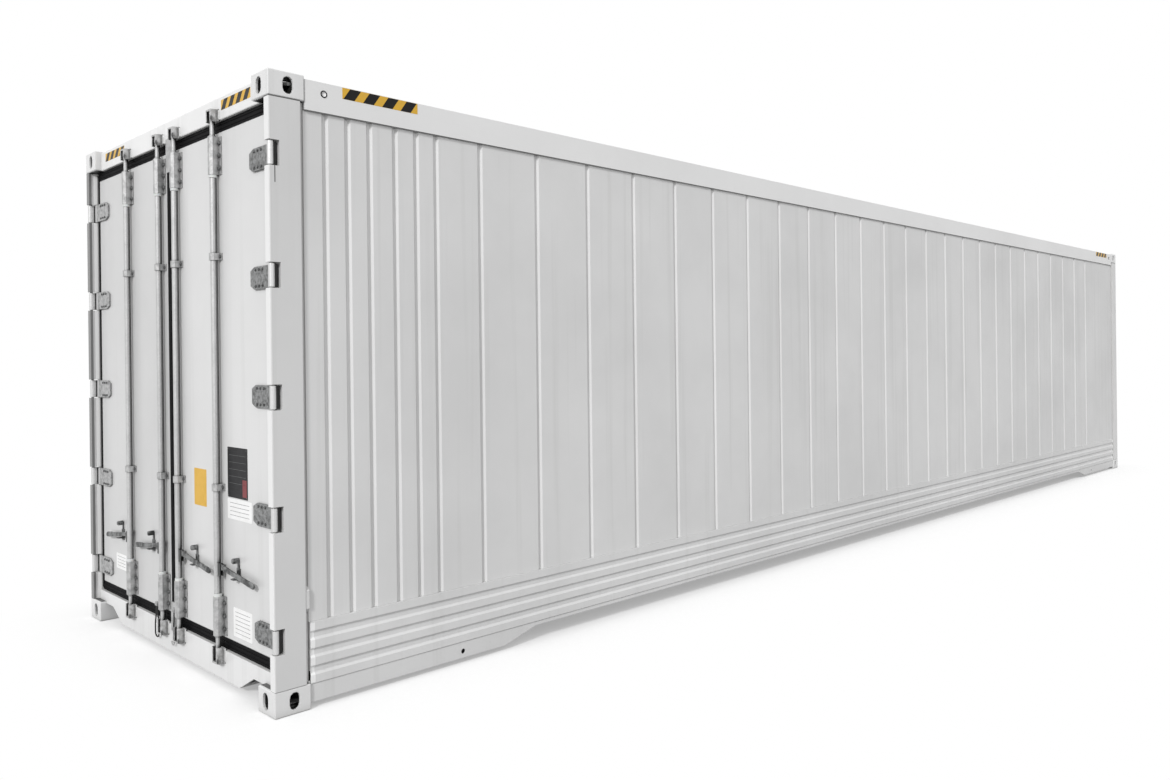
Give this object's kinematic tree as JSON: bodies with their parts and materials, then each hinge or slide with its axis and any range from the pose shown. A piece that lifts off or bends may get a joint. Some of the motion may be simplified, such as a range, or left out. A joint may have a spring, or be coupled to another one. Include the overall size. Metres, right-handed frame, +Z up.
{
  "type": "refrigerated shipping container",
  "caption": "Long insulated steel cargo container with swaged side walls, corner castings and two hinged doors held by locking bars, cams and lever handles.",
  "frame": {"origin": "centre of the ground plane under the corner castings", "axes": "+Z up, length along Y, door end towards -Y, width along X"},
  "size_m": [2.438, 12.192, 2.896],
  "materials": {
    "painted_steel": "semi-gloss",
    "painted_panel": "semi-gloss",
    "door_paint": "semi-gloss",
    "lining": "satin",
    "floor_aluminium": "mill",
    "undercoat": "matt",
    "seal_rubber": "matt",
    "galvanised": "galvanised",
    "tie_rope": "braided",
    "dark_steel": "weathered"
  },
  "bodies": {
    "container": {"bottom_side_rails": "painted_steel", "cam_keepers_lower": "painted_steel", "cam_keepers_upper": "painted_steel", "ceiling_lining": "lining", "corner_castings_lower": "painted_steel", "corner_castings_upper": "painted_steel", "cross_members": "undercoat", "door_header": "painted_steel", "door_post_left": "painted_steel", "door_post_right": "painted_steel", "door_sill": "painted_steel", "floor_slab": "undercoat", "front_header": "painted_steel", "front_posts": "painted_steel", "front_sill": "painted_steel", "roof_panel": "painted_panel", "side_linings": "lining", "side_panel_left": "painted_panel", "side_panel_right": "painted_panel", "t_bar_floor": "floor_aluminium", "top_side_rails": "painted_steel", "unit_covers": "painted_panel", "unit_housing": "painted_panel"},
    "left_door": {"bar_brackets_left": "galvanised", "door_gasket_left": "seal_rubber", "door_leaf_left": "door_paint", "door_lining_left": "lining", "handle_retainers_left": "dark_steel", "hinge_blades_left": "galvanised", "tie_rope_left": "tie_rope"},
    "left_inner_bar": {"lock_bar_left_inner": "galvanised"},
    "left_inner_handle": {"handle_left_inner": "dark_steel"},
    "left_outer_bar": {"lock_bar_left_outer": "galvanised"},
    "left_outer_handle": {"handle_left_outer": "dark_steel"},
    "right_door": {"bar_brackets_right": "galvanised", "door_gasket_right": "seal_rubber", "door_leaf_right": "door_paint", "door_lining_right": "lining", "handle_retainers_right": "dark_steel", "hinge_blades_right": "galvanised", "overlap_plates": "door_paint", "tie_hook_right": "galvanised", "tie_rope_right": "tie_rope"},
    "right_inner_bar": {"lock_bar_right_inner": "galvanised"},
    "right_inner_handle": {"handle_right_inner": "dark_steel"},
    "right_outer_bar": {"lock_bar_right_outer": "galvanised"},
    "right_outer_handle": {"handle_right_outer": "dark_steel"}
  },
  "joints": [
    {"name": "left_door_hinge", "type": "hinge", "parent": "container", "child": "left_door", "pos_m": [-1.201, -6.079, 1.43], "axis": [0, 0, -1], "range_deg": [0, 265]},
    {"name": "right_door_hinge", "type": "hinge", "parent": "container", "child": "right_door", "pos_m": [1.201, -6.079, 1.43], "axis": [0, 0, 1], "range_deg": [0, 265]},
    {"name": "left_inner_bar_turn", "type": "hinge", "parent": "left_door", "child": "left_inner_bar", "pos_m": [-0.112, -6.0745, 1.471], "axis": [0, 0, -1], "range_deg": [-100, 0]},
    {"name": "left_outer_bar_turn", "type": "hinge", "parent": "left_door", "child": "left_outer_bar", "pos_m": [-0.5915, -6.0745, 1.471], "axis": [0, 0, -1], "range_deg": [-100, 0]},
    {"name": "right_inner_bar_turn", "type": "hinge", "parent": "right_door", "child": "right_inner_bar", "pos_m": [0.112, -6.0745, 1.471], "axis": [0, 0, 1], "range_deg": [-100, 0]},
    {"name": "right_outer_bar_turn", "type": "hinge", "parent": "right_door", "child": "right_outer_bar", "pos_m": [0.5915, -6.0745, 1.471], "axis": [0, 0, 1], "range_deg": [-100, 0]},
    {"name": "left_inner_handle_lift", "type": "hinge", "parent": "left_inner_bar", "child": "left_inner_handle", "pos_m": [-0.142, -6.0745, 0.587], "axis": [0, -1, 0], "range_deg": [-12, 0]},
    {"name": "left_outer_handle_lift", "type": "hinge", "parent": "left_outer_bar", "child": "left_outer_handle", "pos_m": [-0.6215, -6.0745, 0.587], "axis": [0, -1, 0], "range_deg": [-12, 0]},
    {"name": "right_inner_handle_lift", "type": "hinge", "parent": "right_inner_bar", "child": "right_inner_handle", "pos_m": [0.142, -6.0745, 0.587], "axis": [0, 1, 0], "range_deg": [-12, 0]},
    {"name": "right_outer_handle_lift", "type": "hinge", "parent": "right_outer_bar", "child": "right_outer_handle", "pos_m": [0.6215, -6.0745, 0.587], "axis": [0, 1, 0], "range_deg": [-12, 0]}
  ]
}
